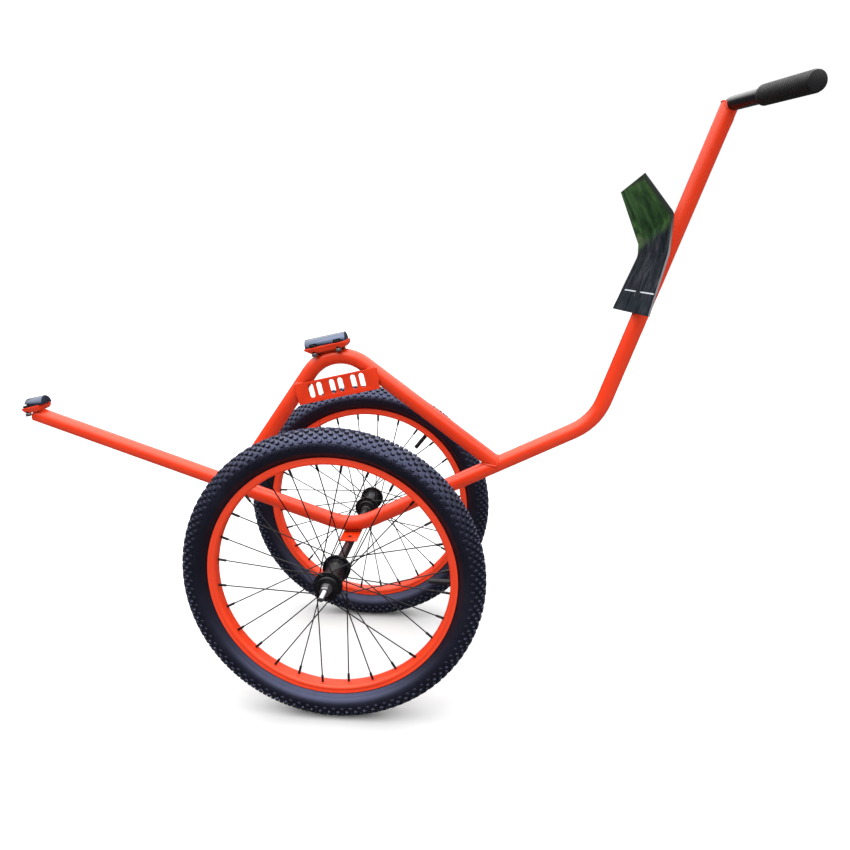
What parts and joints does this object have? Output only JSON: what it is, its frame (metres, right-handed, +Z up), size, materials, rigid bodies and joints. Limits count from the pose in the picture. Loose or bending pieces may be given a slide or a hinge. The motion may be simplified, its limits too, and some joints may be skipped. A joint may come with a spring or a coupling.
{
  "type": "game cart",
  "caption": "Two-wheeled game cart: bent steel spine tube with a braced hump, load rests, knobbed spoked wheels on a through axle and a pull handle.",
  "frame": {"origin": "on the floor under the middle of the cart's length and width", "axes": "+X towards the pull handle, +Y to the cart's left along the axle, +Z up from the floor"},
  "size_m": [1.2995, 0.526, 1.0139],
  "materials": {
    "frame_paint": "gloss powder coat",
    "rim_paint": "gloss powder coat",
    "black_paint": "gloss powder coat",
    "hub_black": "satin anodised look",
    "spoke_black": "satin black plated",
    "black_fasteners": "black oxide",
    "zinc_fasteners": "bright zinc plated",
    "axle_steel": "turned steel",
    "bearing_steel": "polished rings",
    "rest_rubber": "glossy moulded",
    "back_plate_gloss": "high gloss sheet",
    "grip_rubber": "matte ribbed",
    "black_plastic": "fine grained",
    "tyre_rubber": "knobbed tread",
    "tube_rubber": "butyl",
    "tape": "woven strip",
    "valve_rubber": "smooth moulded"
  },
  "bodies": {
    "frame": {"spine_tube": "frame_paint", "hump_tube": "frame_paint", "brace_plate": "frame_paint", "axle_plate": "frame_paint", "tip_saddle": "frame_paint", "top_saddle": "frame_paint", "tip_plug": "black_plastic", "top_rest_block": "rest_rubber", "tip_rest_block": "rest_rubber", "top_saddle_bolts": "black_fasteners", "tip_saddle_bolts": "black_fasteners", "top_saddle_nuts": "zinc_fasteners", "tip_saddle_nuts": "zinc_fasteners", "axle_tube": "black_paint", "axle_set_screws": "black_fasteners", "axle_rod": "axle_steel", "back_plate": "back_plate_gloss", "back_plate_pad": "frame_paint", "back_plate_screws": "black_fasteners", "back_plate_rivet_nuts": "zinc_fasteners", "handlebar": "black_paint", "left_grip": "grip_rubber", "right_grip": "grip_rubber", "handlebar_end_plugs": "black_plastic", "left_axle_spacers": "axle_steel", "left_axle_washers": "zinc_fasteners", "left_axle_nuts": "zinc_fasteners", "right_axle_spacers": "axle_steel", "right_axle_washers": "zinc_fasteners", "right_axle_nuts": "zinc_fasteners"},
    "left_wheel": {"left_tyre": "tyre_rubber", "left_inner_tube": "tube_rubber", "left_rim_tape": "tape", "left_rim": "rim_paint", "left_spokes": "spoke_black", "left_spoke_nipples": "spoke_black", "left_hub_shell": "hub_black", "left_hub_bearings": "bearing_steel", "left_hub_dust_caps": "black_plastic", "left_valve_stem": "valve_rubber", "left_valve_cap": "black_plastic"},
    "right_wheel": {"right_tyre": "tyre_rubber", "right_inner_tube": "tube_rubber", "right_rim_tape": "tape", "right_rim": "rim_paint", "right_spokes": "spoke_black", "right_spoke_nipples": "spoke_black", "right_hub_shell": "hub_black", "right_hub_bearings": "bearing_steel", "right_hub_dust_caps": "black_plastic", "right_valve_stem": "valve_rubber", "right_valve_cap": "black_plastic"}
  },
  "joints": [
    {"name": "left_wheel_spin", "type": "hinge", "parent": "frame", "child": "left_wheel", "pos_m": [-0.0288, 0.181, 0.2544], "axis": [0, 1, 0], "continuous": true},
    {"name": "right_wheel_spin", "type": "hinge", "parent": "frame", "child": "right_wheel", "pos_m": [-0.0288, -0.181, 0.2544], "axis": [0, 1, 0], "continuous": true}
  ]
}
